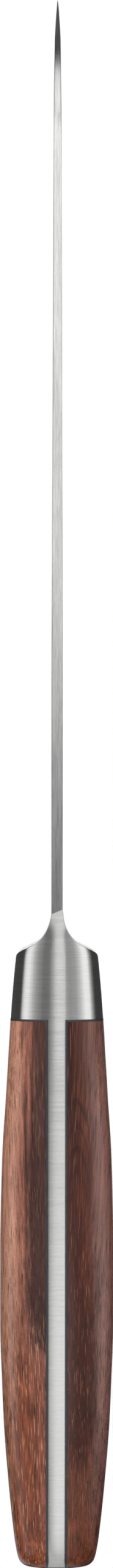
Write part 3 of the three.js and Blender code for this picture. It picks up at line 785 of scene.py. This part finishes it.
def card(name, centre, facing, along, size, radiance):
    """A soft rectangular light. along is the direction of its first side; radiance is what a mirror would show."""
    light = bpy.data.lights.new(name, "AREA")
    light.shape, light.size, light.size_y = "RECTANGLE", size[0], size[1]
    light.energy = radiance * math.pi * size[0] * size[1]
    obj = bpy.data.objects.new(name, light)
    bpy.context.scene.collection.objects.link(obj)
    z = -(Vector(facing)).normalized()
    x = Vector(along) - Vector(along).dot(z) * z
    x.normalize()
    y = z.cross(x)
    obj.matrix_world = Matrix.Translation(Vector(centre)) @ Matrix((x, y, z)).transposed().to_4x4()
    obj.visible_camera = False
    return obj


AXIS_Z = HALF_MAX * MM


def band(name, start, end, radiance, x0, x1, radius=1.3):
    """A card round the knife's length, between two angles from straight above the spine, left negative."""
    mid, half = math.radians((start + end) / 2), math.radians((end - start) / 2)
    out = Vector((0, -math.cos(mid), -math.sin(mid)))
    centre = Vector(((x0 + x1) / 2, -DEPTH / 2 * MM, AXIS_Z)) + radius * out
    obj = card(name, centre, -out, (1, 0, 0), (x1 - x0, 2 * radius * math.tan(half)), radiance)
    obj.visible_diffuse = False
    return obj


def level(name, x0, x1, left, right, radiance):
    """A card above the spine, from left to right as seen by the camera."""
    obj = card(name, ((x0 + x1) / 2, -1.27, AXIS_Z - (left + right) / 2), (0, 1, 0), (1, 0, 0), (x1 - x0, right - left), radiance)
    obj.visible_diffuse = False
    return obj


# soft boxes that the steel mirrors
for name, start, end, radiance, x0, x1 in (
        ("left_under", -91, -84, 0.80, -1.2, 1.2), ("left_high", -84, -66, 1.23, -1.2, 1.2), ("left_upper", -66, -58, 0.90, -1.2, 1.2),
        ("left_mid", -58, -50, 0.56, -1.2, 1.2), ("left_low", -50, -42, 0.37, -1.2, 1.2), ("left_lower", -42, -34, 0.25, -1.4, 1.4),
        ("left_dim", -34, -14, 0.13, -1.6, 1.6), ("right_dim", 17, 34, 0.35, -1.6, 1.6), ("right_low", 34, 46, 0.43, -1.4, 1.4),
        ("right_mid", 46, 55, 0.68, -0.56, 1.2), ("right_upper", 55, 63, 1.00, -0.56, 1.2), ("right_high", 63, 85, 1.36, -0.56, 1.2),
        ("right_under", 85, 93, 0.62, -0.56, 1.2), ("right_lowest", 93, 101, 0.18, -0.56, 1.2)):
    band(name, start, end, radiance, x0, x1)
level("over_camera_rear", -0.17, -0.07, -0.30, 0.36, 0.08)
level("over_camera", -0.07, -0.035, -0.30, 0.36, 0.19)
level("over_camera_front", -0.035, 0.03, -0.30, 0.36, 0.36)
level("over_tip_near_left", 0.03, 0.22, -0.30, 0.01, 0.80)
level("over_tip_near", 0.03, 0.22, 0.01, 0.45, 1.44)
level("over_tip", 0.22, 0.85, -0.16, 0.45, 1.64)
level("over_tip_far", 0.85, 1.2, -0.16, 0.45, 1.76)
level("over_tip_end", 1.2, 1.7, -0.16, 0.45, 2.05)
level("over_butt_near_left", -0.36, -0.17, -0.32, -0.02, 0.44)
level("over_butt_near", -0.36, -0.17, -0.02, 0.30, 0.44)
level("over_butt_mid_left", -0.50, -0.36, -0.34, -0.11, 0.05)
level("over_butt_mid", -0.50, -0.36, -0.11, 0.40, 2.02)
level("over_butt_far_left", -0.76, -0.50, -0.42, -0.23, 0.20)
level("over_butt_far", -0.76, -0.50, -0.23, 0.42, 1.36)
level("over_butt_end_left", -1.8, -0.76, -0.60, -0.42, 0.40)
level("over_butt_end", -1.8, -0.76, -0.42, 0.50, 0.62)
for name, x, top, low, radiance in (("end_tip_high", 1.75, -1.25, -0.75, 1.42), ("end_tip_low", 1.75, -0.75, -0.20, 1.26), ("end_tip_under", 1.75, 0.50, 1.90, 0.06),
                                    ("end_butt_high", -1.85, -1.25, -0.05, 0.70), ("end_butt_low", -1.85, -0.05, 1.60, 0.62)):
    card(name, (x, (top + low) / 2, AXIS_Z), (-x, 0, 0), (0, 1, 0), (low - top, 1.0), radiance).visible_diffuse = False
card("back_high", (-1.3, 1.3, 1.1), (1.3, -1.3, -1.1), (1, 1, 0), (1.6, 1.0), 0.9)
card("front_high", (1.5, -1.5, 1.0), (-1.5, 1.5, -1.0), (1, 1, 0), (1.4, 0.8), 0.6)
card("under_edge", (0.0, 1.3, AXIS_Z), (0, -1, 0), (1, 0, 0), (0.60, 0.60), 2.0).visible_diffuse = False
# light for the wood
card("key_left", (0, -1.52, AXIS_Z + 0.494), (0, 1.52, -0.494), (1, 0, 0), (2.0, 1.0), 6.6).visible_glossy = False
card("fill_right", (0, -0.92, AXIS_Z - 1.31), (0, 0.92, 1.31), (1, 0, 0), (1.6, 0.8), 3.3).visible_glossy = False

SENSOR, LENS = 36.0, 118.0
span = SENSOR / LENS
tip_depth, butt_depth = 37.1 * MM, 10.5 * MM
reach = LENGTH * MM / span - (tip_depth + butt_depth) / 2
aim_x = LENGTH / 2 * MM - span / 2 * (reach + tip_depth)
roll = math.radians(0.045)
cam_data = bpy.data.cameras.new("camera")
cam_data.sensor_width, cam_data.lens = SENSOR, LENS
cam_data.clip_start, cam_data.clip_end = 0.05, 40.0
cam = bpy.data.objects.new("camera", cam_data)
bpy.context.scene.collection.objects.link(cam)
right_axis = Vector((math.sin(roll), 0, -math.cos(roll)))
up_axis = Vector((math.cos(roll), 0, math.sin(roll)))
back_axis = Vector((0, -1, 0))
cam.matrix_world = (Matrix.Translation(Vector((aim_x, -DEPTH / 2 * MM - reach, AXIS_Z + 0.00012)))
                    @ Matrix((right_axis, up_axis, back_axis)).transposed().to_4x4())
bpy.context.scene.camera = cam
bpy.context.scene.view_settings.view_transform = "Standard"
bpy.context.scene.view_settings.look = "None"
